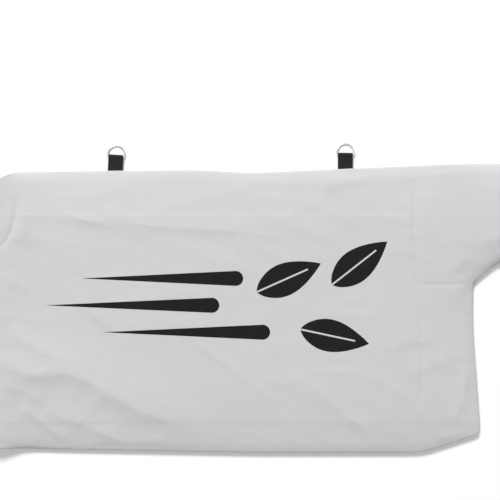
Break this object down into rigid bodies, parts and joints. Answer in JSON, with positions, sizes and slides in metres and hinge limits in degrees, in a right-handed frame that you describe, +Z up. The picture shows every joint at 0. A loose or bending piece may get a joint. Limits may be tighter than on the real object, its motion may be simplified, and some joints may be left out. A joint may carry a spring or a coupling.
{
  "type": "blower vacuum collection bag",
  "caption": "Flat cloth collection bag with a side neck, belt rings on its upper edge, a zip across the far end and a cam-buckle strap round the neck.",
  "frame": {"origin": "middle of the bag's plan, on the surface it lies on", "axes": "+X along the bag towards the neck's mouth, +Y across it towards the belt rings, +Z up from the surface"},
  "size_m": [0.965, 0.5204, 0.0411],
  "materials": {
    "cloth": "woven polyester, pale grey, matt",
    "ink": "screen print, black, matt, over the weave",
    "webbing": "ribbed webbing, black",
    "ring_steel": "bright nickel plate",
    "buckle_steel": "zinc plate, satin",
    "zip": "moulded teeth on black tape",
    "zip_metal": "black lacquer"
  },
  "bodies": {
    "bag": {"front_panel": "cloth", "back_panel": "cloth", "print_streak_1": "ink", "print_streak_2": "ink", "print_streak_3": "ink", "print_leaf_1": "ink", "print_leaf_2": "ink", "print_leaf_3": "ink", "ring_tab_left": "webbing", "ring_tab_right": "webbing", "zip_tape_upper": "zip", "zip_tape_lower": "zip", "zip_stop_bottom": "zip", "zip_stop_upper": "zip", "zip_stop_lower": "zip", "neck_cuff": "cloth", "neck_strap": "webbing", "strap_keeper_upper": "webbing", "strap_keeper_lower": "webbing", "buckle_frame": "buckle_steel", "buckle_pin": "buckle_steel"},
    "ring_left": {"d_ring_left": "ring_steel"},
    "ring_right": {"d_ring_right": "ring_steel"},
    "slider": {"zip_slider": "zip_metal"},
    "pull": {"zip_pull": "zip_metal"},
    "lever": {"buckle_lever": "buckle_steel"}
  },
  "joints": [
    {"name": "ring_left_swing", "type": "hinge", "parent": "bag", "child": "ring_left", "pos_m": [-0.26952, 0.23797, 0.004], "axis": [0.9981, -0.061, 0], "range_deg": [-140, 160]},
    {"name": "ring_right_swing", "type": "hinge", "parent": "bag", "child": "ring_right", "pos_m": [0.11641, 0.24123, 0.004], "axis": [0.9998, -0.0175, 0], "range_deg": [-140, 160]},
    {"name": "zip_slide", "type": "slide", "parent": "bag", "child": "slider", "axis": [0, 1, 0], "range_m": [-0.325, 0], "deforming": ["zip_tape_upper", "zip_tape_lower"]},
    {"name": "pull_swing", "type": "hinge", "parent": "slider", "child": "pull", "pos_m": [-0.48018, 0.12771, 0.01225], "axis": [0, 0, -1], "range_deg": [0, 180]},
    {"name": "lever_open", "type": "hinge", "parent": "bag", "child": "lever", "pos_m": [0.45947, 0.14421, 0.0369], "axis": [1, 0, 0], "range_deg": [0, 110]}
  ]
}
